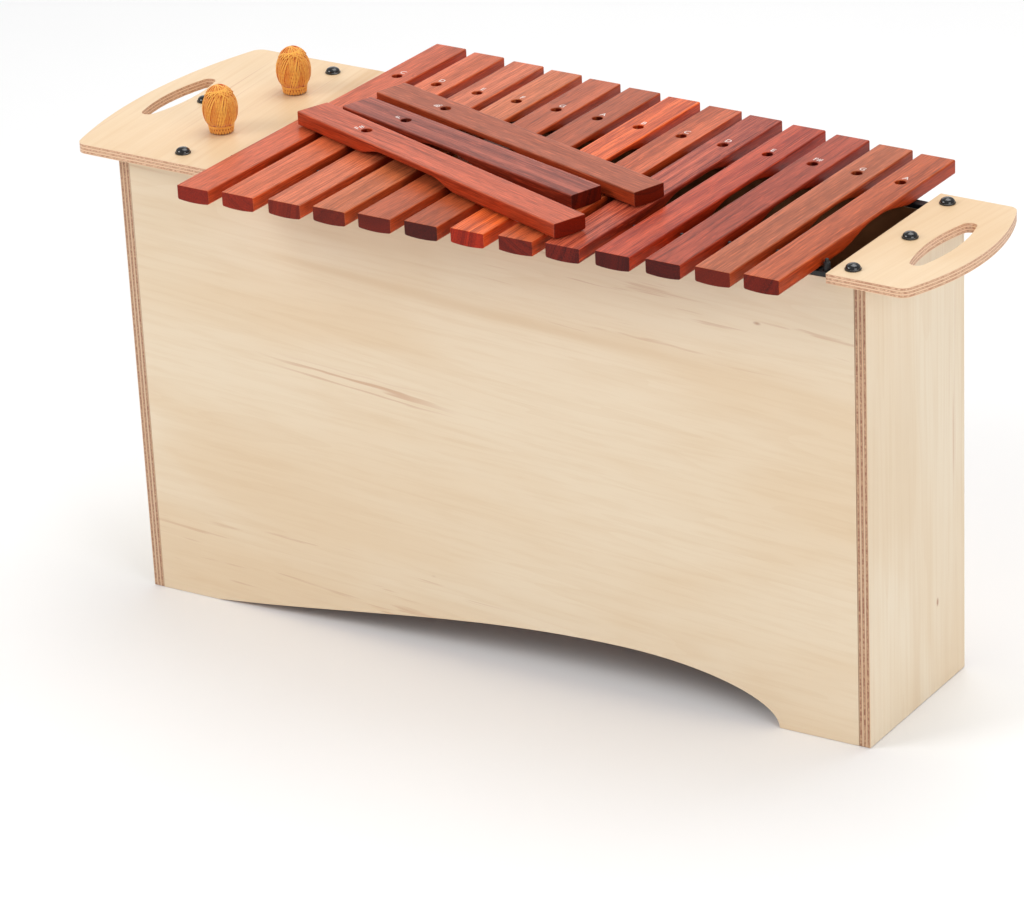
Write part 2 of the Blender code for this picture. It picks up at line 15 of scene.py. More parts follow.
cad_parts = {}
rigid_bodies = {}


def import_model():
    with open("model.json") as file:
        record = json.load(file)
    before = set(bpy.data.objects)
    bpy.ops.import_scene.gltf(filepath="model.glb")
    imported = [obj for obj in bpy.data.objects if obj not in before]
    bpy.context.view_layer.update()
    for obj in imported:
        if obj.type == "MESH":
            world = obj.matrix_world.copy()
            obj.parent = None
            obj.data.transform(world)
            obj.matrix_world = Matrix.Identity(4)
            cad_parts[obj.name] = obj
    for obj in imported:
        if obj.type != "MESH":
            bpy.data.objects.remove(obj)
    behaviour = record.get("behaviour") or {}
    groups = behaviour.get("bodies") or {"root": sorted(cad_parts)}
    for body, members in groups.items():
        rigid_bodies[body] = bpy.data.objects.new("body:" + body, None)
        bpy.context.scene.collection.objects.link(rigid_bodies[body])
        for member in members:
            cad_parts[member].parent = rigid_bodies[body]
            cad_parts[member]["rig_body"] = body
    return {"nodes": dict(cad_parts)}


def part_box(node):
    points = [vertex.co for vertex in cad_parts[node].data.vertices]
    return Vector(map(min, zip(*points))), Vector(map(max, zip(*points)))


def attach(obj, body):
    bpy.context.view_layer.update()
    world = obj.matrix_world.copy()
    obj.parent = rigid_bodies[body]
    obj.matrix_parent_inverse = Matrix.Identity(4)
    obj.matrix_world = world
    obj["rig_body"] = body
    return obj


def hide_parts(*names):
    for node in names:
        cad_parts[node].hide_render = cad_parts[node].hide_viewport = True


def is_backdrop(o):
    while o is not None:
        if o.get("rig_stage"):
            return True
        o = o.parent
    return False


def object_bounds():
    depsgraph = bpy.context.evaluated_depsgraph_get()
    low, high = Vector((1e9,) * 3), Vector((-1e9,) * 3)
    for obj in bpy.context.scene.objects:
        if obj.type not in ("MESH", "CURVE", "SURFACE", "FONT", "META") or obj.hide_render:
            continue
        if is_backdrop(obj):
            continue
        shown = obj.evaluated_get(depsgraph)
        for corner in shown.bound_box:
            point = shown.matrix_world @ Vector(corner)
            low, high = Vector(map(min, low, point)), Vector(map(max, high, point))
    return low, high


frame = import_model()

cad_low, cad_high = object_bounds()
MM = 0.001
print("packed model", [round(1000 * side) for side in cad_high - cad_low], "mm")

# %% [markdown]
# ## Small helpers
# An operator acts on whatever is selected, and a loaded model arrives selected. So these helpers always
# say first which object, or which faces of it, the next operator is for.
# %% Helpers for objects


def only(*things):
    """Selects these objects and nothing else, the first one active."""
    bpy.ops.object.select_all(action="DESELECT")
    for thing in things:
        thing.select_set(True)
    bpy.context.view_layer.objects.active = things[0]


def added(name):
    """Names the object that the last operator added, puts its place in its mesh and goes into edit mode."""
    thing = bpy.context.object
    thing.name = thing.data.name = name
    only(thing)
    bpy.ops.object.transform_apply(location=True, rotation=True, scale=True)
    bpy.ops.object.mode_set(mode="EDIT")
    bpy.ops.mesh.select_mode(type="VERT")
    return thing


def done():
    bpy.ops.object.mode_set(mode="OBJECT")


def pick(kind, test):
    """Selects the vertices, edges or faces that pass the test, and nothing else."""
    bpy.ops.mesh.select_mode(type=kind)
    bpy.ops.mesh.select_all(action="DESELECT")
    shape = bmesh.from_edit_mesh(bpy.context.object.data)
    for item in {"VERT": shape.verts, "EDGE": shape.edges, "FACE": shape.faces}[kind]:
        if test(item):
            item.select_set(True)
    bmesh.update_edit_mesh(bpy.context.object.data)


def cut_all(place, normal):
    """Cuts a line of new edges right round the mesh, on a plane."""
    bpy.ops.mesh.select_all(action="SELECT")
    bpy.ops.mesh.bisect(plane_co=place, plane_no=normal)


def apply_modifiers(thing):
    only(thing)
    for modifier in list(thing.modifiers):
        bpy.ops.object.modifier_apply(modifier=modifier.name)


def settle(thing, place, heading=0.0):
    """Turns a piece about Z and moves it to its place, then applies both to its mesh."""
    thing.rotation_euler.z = heading
    thing.location = place
    only(thing)
    bpy.ops.object.transform_apply(location=True, rotation=True, scale=True)


def smooth(thing, degrees=32):
    """Shades shallow angles smooth. Weighted normals keep big faces flat up to their rounded edges."""
    only(thing)
    bpy.ops.object.shade_smooth_by_angle(angle=math.radians(degrees))
    thing.modifiers.new("flat faces stay flat", "WEIGHTED_NORMAL").keep_sharp = True
    apply_modifiers(thing)


def hand_over(thing, body, slot, *nodes):
    """Says which body a finished piece rides on and what it replaces. The slot argument is not used."""
    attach(thing, body)
    if nodes:
        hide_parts(*nodes)


body_of_node = {node: thing["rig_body"] for node, thing in frame["nodes"].items()}

# %% [markdown]
# ## Helpers for materials
# Every finish here is worked out by nodes from the place on the object, so it has no seams and no image.
# A few little functions keep the node trees readable: one adds a node and feeds its sockets, and the others
# add the nodes that come up again and again, for arithmetic, for blending two colours, and for noise.
# %% Helpers for node trees


def colour(red, green, blue):
    """A colour as it looks on a screen, 0 to 255, turned into the linear light that Blender wants."""
    linear = []
    for part in (red / 255, green / 255, blue / 255):
        linear.append(part / 12.92 if part < 0.04 else ((part + 0.055) / 1.055) ** 2.4)
    return (*linear, 1)


def add_node(tree, kind, inputs=(), **settings):
    """Adds a node. An input is a number, a colour or the socket that feeds it."""
    node = tree.nodes.new(f"ShaderNode{kind}")
    for name, value in settings.items():
        setattr(node, name, value)
    for name, value in dict(inputs).items():
        if isinstance(value, bpy.types.NodeSocket):
            tree.links.new(value, node.inputs[name])
        else:
            node.inputs[name].default_value = value
    return node


def maths(tree, operation, first, second=0.0, third=0.0):
    return add_node(tree, "Math", {0: first, 1: second, 2: third}, operation=operation).outputs[0]


def spread(tree, value, low, high, to_low=0.0, to_high=1.0):
    """Stretches the range low..high of a value to to_low..to_high, and clamps it."""
    inputs = {0: value, 1: low, 2: high, 3: to_low, 4: to_high}
    return add_node(tree, "MapRange", inputs, interpolation_type="SMOOTHSTEP").outputs[0]


def blend(tree, share, under, over, how="MIX"):
    """Blends the colour over onto the colour under, by share."""
    inputs = {0: share, 6: under, 7: over}
    return add_node(tree, "Mix", inputs, data_type="RGBA", blend_type=how).outputs[2]


def noise(tree, vector, scale, detail=3.0, roughness=0.55, distortion=0.0):
    inputs = {"Vector": vector, "Scale": scale, "Detail": detail, "Roughness": roughness}
    return add_node(tree, "TexNoise", {**inputs, "Distortion": distortion}).outputs[0]


def stretched(tree, vector, x, y, z):
    """The vector with each of its three parts multiplied."""
    return add_node(tree, "VectorMath", {0: vector, 1: (x, y, z)}, operation="MULTIPLY").outputs[0]


def new_finish(name):
    """A new material: its node tree, its shader and the place on the object."""
    material = bpy.data.materials.new(name)
    material.use_nodes = True
    tree = material.node_tree
    return material, tree, tree.nodes["Principled BSDF"], add_node(tree, "TexCoord").outputs["Object"]


def bump(tree, shader, height, distance, strength=1.0):
    inputs = {"Height": height, "Distance": distance, "Strength": strength}
    tree.links.new(add_node(tree, "Bump", inputs).outputs[0], shader.inputs["Normal"])


# %% [markdown]
# ## Birch plywood
# A sheet of plywood is a stack of veneers whose grain runs crosswise by turns. So the finish is worked out
# through the whole thickness, not painted on: a height in the stack says which veneer we are in. The outer
# two give the pale face, and wherever a saw went through, the stack shows as stripes by itself, also on a
# rounded edge.
# %% Measure a sheet


def sheet_of(node):
    """The unit vector through a sheet's thickness, where its stack starts along it, and its thickness."""
    mesh = frame["nodes"][node].data
    widest = {}
    for face in mesh.polygons:
        key = tuple(round(abs(part), 2) for part in face.normal)
        area, _ = widest.get(key, (0.0, None))
        widest[key] = (area + face.area, face.normal.copy())
    across = max(widest.values(), key=lambda pair: pair[0])[1]
    heights = [vertex.co.dot(across) for vertex in mesh.vertices]
    return across, min(heights), max(heights) - min(heights)


# %% The plywood finish
PLIES = 7
STREAK_FALL = 0.09  # how steeply a bundle of brown lines falls along the panel
STREAK_REACH = 0.13  # how far it runs to each side of its middle, and below how far it wanders
STREAK_WANDER = 0.014
STREAK_WIDTH = 0.012
STREAK_LINES = 900.0  # how close together its lines lie
FACE_VENEER = colour(227, 206, 176)
WARM_VENEER = colour(212, 182, 144)
COOL_VENEER = colour(232, 216, 191)
STREAK = colour(186, 132, 96)
VARNISH = colour(255, 226, 184)
# painted shade for the inside of the case, where little light reaches
INSIDE_SHADE = colour(176, 132, 102)
BOARD_EDGES = colour(238, 208, 184), colour(190, 142, 118)
CASE_EDGES = colour(208, 168, 132), colour(150, 98, 74)
GLUE_LINE = colour(104, 64, 48)
SPECK = colour(158, 98, 62)


def plywood(name, node, grain, edges, warmth=0.0, inside=None, streak=None):
    """Plywood for one sheet. grain is the turn that lays X along the face grain.

    edges holds the colours that its long and its cross plies show where it is sawn.
    warmth blends in the tan of a thicker varnish. inside is the way the inner face looks, which gets painted
    shade.
    streak is the (x, z) of a bundle of brown lines in the veneer.
    """
    across, start, thickness = sheet_of(node)
    material, tree, shader, place = new_finish(name)
    inputs = {"Vector": place, "Rotation": grain, "Location": tuple(cad_low)}
    turned = add_node(tree, "Mapping", inputs, vector_type="TEXTURE").outputs[0]
    # which veneer: 0.5 on one face, PLIES - 0.5 on the other
    height = add_node(tree, "VectorMath", {0: place, 1: tuple(across)}, operation="DOT_PRODUCT").outputs[1]
    stack = maths(tree, "MULTIPLY_ADD", maths(tree, "SUBTRACT", height, start), (PLIES - 1) / thickness, 0.5)
    stack = spread(tree, stack, 0.0, PLIES, 0.0, PLIES)
    tree.nodes[-1].interpolation_type = "LINEAR"
    crosswise = maths(tree, "FLOORED_MODULO", maths(tree, "FLOOR", stack), 2.0)
    within = maths(tree, "FRACT", stack)
    edge = maths(tree, "MINIMUM", within, maths(tree, "SUBTRACT", 1.0, within))
    glue = spread(tree, edge, 0.02, 0.11, 0.75, 0.0)
    # the face veneer: broad clouds, fine grain lines, a few warm streaks
    clouds = noise(tree, stretched(tree, turned, 2.6, 9.0, 9.0), 1.0, 3.0, 0.5, 0.6)
    lines = noise(tree, stretched(tree, turned, 4.0, 240.0, 240.0), 1.0, 4.0, 0.6, 0.2)
    streaks = noise(tree, stretched(tree, turned, 2.0, 200.0, 200.0), 1.0, 2.0, 0.5, 0.3)
    patches = noise(tree, stretched(tree, turned, 1.2, 7.0, 7.0), 1.0, 1.0)
    flame = noise(tree, stretched(tree, turned, 0.7, 22.0, 22.0), 1.0, 2.0, 0.4, 0.5)
    bands = maths(tree, "FRACT", maths(tree, "MULTIPLY", flame, 9.0))
    face = blend(tree, spread(tree, clouds, 0.34, 0.68), COOL_VENEER, FACE_VENEER)
    face = blend(tree, spread(tree, lines, 0.42, 0.75, 0.0, 0.20), face, WARM_VENEER)
    face = blend(tree, spread(tree, bands, 0.45, 1.0, 0.0, 0.12), face, WARM_VENEER)
    face = blend(tree, spread(tree, flame, 0.64, 0.76, 0.0, 0.45), face, WARM_VENEER)
    few = maths(tree, "MULTIPLY", spread(tree, streaks, 0.62, 0.72), spread(tree, patches, 0.56, 0.64))
    face = blend(tree, maths(tree, "MULTIPLY", few, 0.32), face, STREAK)
    # the bundle of brown lines
    if streak:
        at = add_node(tree, "SeparateXYZ", {0: place}).outputs
        off_x = maths(tree, "SUBTRACT", at[0], streak[0])
        off_z = maths(tree, "SUBTRACT", at[2], streak[1])
        off_z = maths(tree, "MULTIPLY_ADD", off_x, STREAK_FALL, off_z)
        wave = noise(tree, stretched(tree, turned, 7.0, 90.0, 90.0), 1.0, 2.0)
        off_z = maths(tree, "MULTIPLY_ADD", wave, STREAK_WANDER, off_z)
        near = spread(tree, maths(tree, "ABSOLUTE", off_x), 0.04, STREAK_REACH, 1.0, 0.0)
        inner = spread(tree, maths(tree, "ABSOLUTE", off_z), 0.002, STREAK_WIDTH, 1.0, 0.0)
        hairs = spread(tree, maths(tree, "SINE", maths(tree, "MULTIPLY", off_z, STREAK_LINES)), 0.1, 1.0)
        hairs = maths(tree, "MULTIPLY", maths(tree, "MULTIPLY", hairs, inner), near)
        face = blend(tree, maths(tree, "MULTIPLY", hairs, 0.5), face, STREAK)
    # a few small knots
    inputs = {"Vector": stretched(tree, turned, 4.0, 9.0, 9.0), "Scale": 1.0, "Randomness": 1.0}
    dots = add_node(tree, "TexVoronoi", inputs).outputs["Distance"]
    face = blend(tree, spread(tree, dots, 0.010, 0.026, 0.75, 0.0), face, SPECK)
    # the sawn stack
    pores = noise(tree, stretched(tree, place, 420.0, 420.0, 420.0), 1.0, 3.0, 0.7)
    long_ply, cross_ply = edges
    sawn_cross = blend(tree, spread(tree, pores, 0.35, 0.7), cross_ply, long_ply)
    sawn_long = blend(tree, spread(tree, lines, 0.3, 0.7, 0.0, 0.5), long_ply, face)
    sawn = blend(tree, crosswise, sawn_long, sawn_cross)
    outer = maths(tree, "MINIMUM", stack, maths(tree, "SUBTRACT", PLIES, stack))
    shown = blend(tree, spread(tree, outer, 0.52, 0.62), face, sawn)
    shown = blend(tree, glue, shown, GLUE_LINE)
    shown = blend(tree, warmth, shown, VARNISH, "MULTIPLY")
    # painted shade: the inner face is darkened
    if inside:
        facing = add_node(tree, "TexCoord").outputs["Normal"]
        inward = add_node(tree, "VectorMath", {0: facing, 1: inside}, operation="DOT_PRODUCT").outputs[1]
        shown = blend(tree, spread(tree, inward, 0.7, 0.9), shown, INSIDE_SHADE, "MULTIPLY")
    tree.links.new(shown, shader.inputs["Base Color"])
    tree.links.new(spread(tree, lines, 0.3, 0.7, 0.40, 0.52), shader.inputs["Roughness"])
    bump(tree, shader, maths(tree, "SUBTRACT", lines, glue), 0.00012, 0.35)
    return material


print("stack of the front panel:", [round(part, 3) for part in sheet_of("front_panel")[0]])

# %% [markdown]
# ## The six boards of the case
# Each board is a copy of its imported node, so that the fit is exact. The copy's loose triangles are merged
# into proper faces, and its sharp edges are rounded, more on the handle boards, which hands touch. The end
# panels stand on their grain, and the varnish is thicker and warmer on the handle boards.
# %% Round the edges of a copy


def eased_board(node, name, radius, segments=3):
    """A copy of a packed board with its sharp edges rounded."""
    board = bpy.data.objects.new(name, frame["nodes"][node].data.copy())
    bpy.context.scene.collection.objects.link(board)
    board.data.materials.clear()
    only(board)
    bpy.ops.object.mode_set(mode="EDIT")
    bpy.ops.mesh.select_mode(type="VERT")
    bpy.ops.mesh.select_all(action="SELECT")
    bpy.ops.mesh.remove_doubles(threshold=1e-5)
    bpy.ops.mesh.dissolve_limited(angle_limit=math.radians(0.5))
    bpy.ops.mesh.select_mode(type="EDGE")
    bpy.ops.mesh.select_all(action="DESELECT")
    bpy.ops.mesh.edges_select_sharp(sharpness=math.radians(40))
    bpy.ops.mesh.bevel(offset=radius, segments=segments, affect="EDGES", clamp_overlap=True)
    done()
    return board


# %% Panels and handle boards
UPRIGHT = -math.pi / 2
CROSSWISE = math.pi / 2
BOARDS = {
    # node: radius of its edges, turn of its grain, warmth, way its inner face looks (that face gets painted
    # shade), streak
    "front_panel": (0.0006, (0, 0.06, 0), 0.12, (0, 1, 0), (-0.15, 0.285)),
    "back_panel": (0.0006, (0, -0.03, 0), 0.12, (0, -1, 0), (0.21, 0.17)),
    "left_end_panel": (0.0007, (0, UPRIGHT, 0), 0.0, (1, 0, 0), None),
    "right_end_panel": (0.0007, (0, UPRIGHT + 0.02, 0), 0.0, (-1, 0, 0), None),
    "left_handle_board": (0.0013, (0, 0, CROSSWISE + 0.1), 0.5, None, None),
    "right_handle_board": (0.0013, (0, 0, CROSSWISE - 0.1), 0.5, None, None),
}
for node, (radius, grain, *look) in BOARDS.items():
    edges = CASE_EDGES if "panel" in node else BOARD_EDGES
    board = eased_board(node, node.replace("_panel", "_sheet").replace("_board", "_plate"), radius)
    board.data.materials.append(plywood(f"birch ply of the {node}", node, grain, edges, *look))
    smooth(board)
    hand_over(board, "case", "birch_ply", node)
    print(board.name, len(board.data.polygons), "faces")

# %% [markdown]
# ## The resonator floor and dividers
# They are deep inside and plain, so the imported nodes stay as they are and only get a plywood darkened by
# painted shade.
# %% Finish the inside
for node in ("resonator_floor", "divider_1", "divider_2", "divider_3"):
    inner = plywood(f"shade-darkened ply of the {node}", node, (0, 0, 0), CASE_EDGES)
    tree = inner.node_tree
    shader = tree.nodes["Principled BSDF"]
    # painted shade: the whole inner sheet is darkened
    shaded_inside = blend(tree, 1.0, shader.inputs["Base Color"].links[0].from_socket, INSIDE_SHADE, "MULTIPLY")
    tree.links.new(shaded_inside, shader.inputs["Base Color"])
    for slot in frame["nodes"][node].material_slots:
        slot.material = inner
print("four inner sheets finished")

# %% [markdown]
# ## Padauk tone bars: the wood
# Padauk is orange-red when fresh and browner with age, so every bar has its own colour. The finish is a
# block of wood: rings round a far pith, stretched along the bar. On top they show as streaks, and on the
# ends as slanting lines. Sawn ends are darkest, partly from the oil they drink and partly from painted shade,
# and the sides get painted shade between them and the sanded top. Where the pith lies decides the look.
# %% The padauk finish
END_GRAIN_AND_SHADE = (0.38, 0.10, 0.045)  # what oil and painted shade leave of red, green and blue at the ends; below, what painted shade leaves at the sides
SIDE_SHADE = (0.82, 0.47, 0.30, 1.0)
RINGS = 190.0  # growth rings to a metre


def padauk(name, centre, heading, pale, deep, pith_angle, pith_far, contrast, end_shade, seed):
    """Wood for one bar. pith_angle (degrees) says in which direction the middle of the tree lay.

    contrast is how strongly its rings show, end_shade how light its ends are, and seed picks another log.
    """
    material, tree, shader, place = new_finish(name)
    inputs = {"Vector": place, "Location": tuple(centre), "Rotation": (0.0, 0.0, heading)}
    wood = add_node(tree, "Mapping", inputs, vector_type="TEXTURE").outputs[0]
    shifted = add_node(tree, "VectorMath", {0: wood, 1: (seed * 0.731, 0, 0)}, operation="ADD").outputs[0]
    # distance from the pith, a little wavy along the bar
    angle = math.radians(pith_angle)
    pith = (0.0, pith_far * math.cos(angle), pith_far * math.sin(angle))
    sway = noise(tree, stretched(tree, shifted, 2.6, 9.0, 9.0), 1.0, 2.0)
    off = add_node(tree, "VectorMath", {0: wood, 1: pith}, operation="SUBTRACT").outputs[0]
    ring = add_node(tree, "VectorMath", {0: stretched(tree, off, 0, 1, 1)}, operation="LENGTH").outputs[1]
    ring = maths(tree, "MULTIPLY", maths(tree, "MULTIPLY_ADD", sway, 0.013, ring), RINGS)
    along = add_node(tree, "SeparateXYZ", {0: shifted}).outputs[0]
    rings = add_node(tree, "CombineXYZ", {0: ring, 1: along, 2: seed}).outputs[0]
    broad = noise(tree, stretched(tree, rings, 0.5, 1.4, 1.0), 1.0, 2.0)
    fine = noise(tree, stretched(tree, rings, 3.2, 2.2, 1.0), 1.0, 5.0, 0.75)
    pores = noise(tree, stretched(tree, shifted, 40.0, 900.0, 900.0), 1.0, 2.0, 0.6)
    cloud = noise(tree, stretched(tree, shifted, 5.0, 22.0, 22.0), 1.0, 3.0)
    tone = maths(tree, "MULTIPLY_ADD", broad, 0.55, maths(tree, "MULTIPLY", fine, 0.45))
    shown = blend(tree, spread(tree, tone, 0.5 - 0.12 / contrast, 0.5 + 0.12 / contrast), pale, deep)
    shown = blend(tree, spread(tree, cloud, 0.35, 0.7, 0.0, 0.28), shown, deep)
    dark = tuple(0.42 * part for part in deep[:3]) + (1.0,)
    shown = blend(tree, spread(tree, fine, 0.55, 0.66, 0.0, min(0.9, 0.6 * contrast)), shown, dark)
    shown = blend(tree, spread(tree, pores, 0.54, 0.66, 0.0, 0.50), shown, dark)
    light = tuple(min(1.0, 1.45 * part) for part in pale[:3]) + (1.0,)
    shown = blend(tree, spread(tree, pores, 0.34, 0.46, 0.45, 0.0), shown, light)
    # sides and ends, found by the way the surface faces: the sides get painted shade, the ends darker end
    # grain with painted shade
    facing = add_node(tree, "TexCoord").outputs["Normal"]
    ahead = (math.cos(heading), math.sin(heading), 0.0)
    end = add_node(tree, "VectorMath", {0: facing, 1: ahead}, operation="DOT_PRODUCT").outputs[1]
    end = spread(tree, maths(tree, "ABSOLUTE", end), 0.55, 0.92)
    across = (-ahead[1], ahead[0], 0.0)
    aside = add_node(tree, "VectorMath", {0: facing, 1: across}, operation="DOT_PRODUCT").outputs[1]
    aside = spread(tree, maths(tree, "ABSOLUTE", aside), 0.60, 0.95)
    # painted shade on the sides
    shown = blend(tree, aside, shown, blend(tree, 1.0, shown, SIDE_SHADE, "MULTIPLY"))
    # the ends: darker oiled end grain and painted shade together
    oiled_and_shaded = tuple(end_shade * part for part in END_GRAIN_AND_SHADE) + (1.0,)
    shown = blend(tree, end, shown, blend(tree, 1.0, shown, oiled_and_shaded, "MULTIPLY"))
    tree.links.new(shown, shader.inputs["Base Color"])
    tree.links.new(spread(tree, tone, 0.3, 0.7, 0.30, 0.42), shader.inputs["Roughness"])
    shader.inputs["Specular IOR Level"].default_value = 0.18
    bump(tree, shader, maths(tree, "MULTIPLY_ADD", pores, 0.6, fine), 0.00010, 0.30)
    return material


# %% [markdown]
# ## Padauk tone bars: the shape
# A bar is flat on top, where it is struck, and slightly rounded underneath. A hollow under its middle tunes
# it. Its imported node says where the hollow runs. The bar starts as a cube: cuts give it stations, the
# underside is lifted station by station, and weighted edges get each its own rounding. Last comes the hole.
# %% Measure a bar


def measure_bar(node):
    """Middle, heading towards the hole, length, width, thickness, hole and hollow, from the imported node."""
    mesh = frame["nodes"][node].data
    upright = [face for face in mesh.polygons if abs(face.normal.z) < 0.01]
    side = max(upright, key=lambda face: face.area).normal
    axes = np.array([(-side.y, side.x), (side.x, side.y)])
    places = np.array([vertex.co for vertex in mesh.vertices])
    along, aside = axes @ places[:, :2].T
    middle = axes.T @ ((along.max() + along.min()) / 2, (aside.max() + aside.min()) / 2)
    length, width = float(np.ptp(along)), float(np.ptp(aside))
    along -= (along.max() + along.min()) / 2
    aside -= (aside.max() + aside.min()) / 2
    hole = float(along[abs(aside) < width / 2 - 3 * MM].mean())
    facing = axes[0] * np.sign(hole)
    low, high = places[:, 2].min(), places[:, 2].max()
    border = (abs(aside) < width / 2 - 0.2 * MM) & (abs(aside) > width / 2 - 0.9 * MM)
    border &= (places[:, 2] < high - 4 * MM) & (abs(along) < length / 2 - 8 * MM)
    hollow = {}
    for u, height in zip(along[border], places[border, 2]):
        hollow[round(float(u * np.sign(hole)), 4)] = float(height - low)
    return {
        "middle": Vector((*middle, low)),
        "heading": math.atan2(facing[1], facing[0]),
        "length": length,
        "width": width,
        "thick": float(high - low),
        "hole": abs(hole),
        "hollow": sorted(hollow.items()),
    }


# %% Make a bar
CROWN = 1.4 * MM  # how much higher the underside is at its long edges
COLUMNS = (0.0, 0.3, 0.6)  # cuts along the bar, as shares of half its width
ROUNDING = 3.8 * MM  # of the lower long edges; the other edges get a share of it
TINY = 0.05 * MM  # how far a vertex may be from the face that it is on
HOLE_RADIUS = 5.5 * MM
HOLE_FLARE = 1.2 * MM  # how deep the eased rim of the hole is


def weigh_edges(weight, test):
    """Gives the Bevel modifier a share of its width on the edges that pass the test."""
    shape = bmesh.from_edit_mesh(bpy.context.object.data)
    layers = shape.edges.layers.float
    layer = layers.get("bevel_weight_edge") or layers.new("bevel_weight_edge")
    for edge in shape.edges:
        if test(*(vertex.co for vertex in edge.verts)):
            edge[layer] = weight
    bmesh.update_edit_mesh(bpy.context.object.data)


def bar_blank(name, size):
    """The bar before its hole is drilled, lying along X with its underside at height 0."""
    length, width, thick = size["length"], size["width"], size["thick"]
    bpy.ops.mesh.primitive_cube_add(size=1.0, location=(0, 0, thick / 2), scale=(length, width, thick))
    bar = added(name)
    for u, _ in size["hollow"]:
        cut_all((u, 0, 0), (1, 0, 0))
    for share in COLUMNS:
        for place in {share, -share}:
            cut_all((0, place * width / 2, 0), (0, 1, 0))
    for share in COLUMNS[1:] + (1.0,):
        pick("VERT", lambda v, s=share: v.co.z < MM and abs(abs(v.co.y) - s * width / 2) < 0.1 * MM)
        bpy.ops.transform.translate(value=(0, 0, CROWN * share**2))
    for u, lift in size["hollow"]:
        if lift > 0:
            pick("VERT", lambda v, at=u: v.co.z < thick / 2 and abs(v.co.x - at) < 0.1 * MM)
            bpy.ops.transform.translate(value=(0, 0, lift * (1 - 0.5 * CROWN / thick)))

    def side(*ends):
        return all(abs(abs(p.y) - width / 2) < TINY for p in ends)

    def end(*ends):
        return all(abs(abs(p.x) - length / 2) < TINY for p in ends)

    def top(p):
        return p.z > thick - TINY

    def hollow(p):
        return p.z > CROWN + 0.5 * MM and not end(p)

    weigh_edges(1.0, lambda a, b: side(a, b) and not top(a) and not top(b))
    weigh_edges(0.35, lambda a, b: side(a, b) and not top(a) and not top(b) and (hollow(a) or hollow(b)))
    weigh_edges(0.0, lambda a, b: abs(a.x - b.x) < 0.1 * MM)
    weigh_edges(0.45, lambda a, b: side(a, b) and top(a) and top(b))
    weigh_edges(0.22, lambda a, b: end(a, b) and not top(a) and not top(b))
    weigh_edges(0.18, lambda a, b: end(a, b) and top(a) and top(b))
    weigh_edges(0.40, lambda a, b: end(a, b) and side(a, b) and abs(a.z - b.z) > MM)
    done()
    rounding = bar.modifiers.new("rounding", "BEVEL")
    rounding.limit_method = "WEIGHT"
    rounding.width = ROUNDING
    rounding.segments = 4
    apply_modifiers(bar)
    return bar


def drill(height):
    """A drill with a slightly flared top and bottom, which leaves an eased rim."""
    bpy.ops.mesh.primitive_cylinder_add(vertices=40, radius=HOLE_RADIUS, depth=height - HOLE_FLARE)
    tool = added("drill")
    for side in (1, -1):
        pick("FACE", lambda face, s=side: face.normal.z * s > 0.9)
        move = {"value": (0, 0, side * HOLE_FLARE)}
        bpy.ops.mesh.extrude_region_move(TRANSFORM_OT_translate=move)
        bpy.ops.transform.resize(value=(1.22, 1.22, 1.0))
    done()
    return tool


def tone_bar(name, node):
    size = measure_bar(node)
    bar = bar_blank(name, size)
    tool = drill(size["thick"])
    settle(tool, (size["hole"], 0, size["thick"] / 2))
    hole = bar.modifiers.new("hole", "BOOLEAN")
    hole.object = tool
    apply_modifiers(bar)
    bpy.data.objects.remove(tool)
    settle(bar, size["middle"], size["heading"])
    smooth(bar, 30)
    return bar, size


# %% Make and finish all sixteen bars
BARS = {
    # node: note, pale and deep colour, pith direction, pith distance, contrast, shade of its end grain
    "bar_01_c": ("C", (214, 100, 60), (172, 78, 46), 100, 0.09, 0.9, 1.05),
    "bar_02_d": ("D", (226, 112, 68), (182, 88, 52), 128, 0.06, 1.1, 1.05),
    "bar_03_e": ("E", (222, 118, 76), (178, 90, 58), 8, 0.12, 1.1, 0.85),
    "bar_04_f": ("F", (208, 112, 68), (168, 88, 52), 38, 0.10, 0.8, 0.75),
    "bar_05_g": ("G", (192, 93, 53), (154, 73, 42), 82, 0.07, 0.9, 0.75),
    "bar_06_a": ("A", (180, 84, 44), (142, 66, 36), 60, 0.11, 0.9, 0.45),
    "bar_07_b": ("B", (244, 112, 52), (186, 76, 38), 15, 0.10, 1.6, 1.2),
    "bar_08_c_high": ("C", (208, 100, 56), (160, 72, 40), 120, 0.09, 1.3, 0.8),
    "bar_09_d_high": ("D", (204, 96, 66), (138, 52, 38), 24, 0.07, 1.6, 0.75),
    "bar_10_e_high": ("E", (200, 78, 42), (150, 50, 32), 12, 0.10, 1.3, 0.45),
    "bar_11_f_sharp": ("F#", (186, 76, 46), (148, 58, 36), 98, 0.045, 1.1, 0.5),
    "bar_12_g_high": ("G", (194, 101, 60), (154, 78, 46), 50, 0.12, 0.9, 0.9),
    "bar_13_a_high": ("A", (202, 96, 48), (156, 70, 34), 30, 0.09, 1.1, 0.8),
    "exchange_bar_f_sharp": ("F#", (206, 97, 63), (166, 75, 49), 110, 0.07, 1.0, 0.9),
    "exchange_bar_f": ("F", (178, 88, 66), (126, 58, 46), 20, 0.09, 1.5, 0.7),
    "exchange_bar_b_flat": ("Bb", (194, 102, 68), (156, 80, 54), 94, 0.05, 0.9, 0.8),
}
bar_sizes = {}
for seed, (node, (_, pale, deep, *grown)) in enumerate(BARS.items(), start=1):
    bar, size = tone_bar(f"padauk_{node}", node)
    spot = size["middle"] + Vector((0, 0, size["thick"] / 2))
    wood = padauk(f"padauk of {node}", spot, size["heading"], colour(*pale), colour(*deep), *grown, seed)
    bar.data.materials.append(wood)
    hand_over(bar, body_of_node[node], "padauk", node)
    bar_sizes[node] = size
print("bars:", [round(1000 * size["length"]) for size in bar_sizes.values()], "mm long")

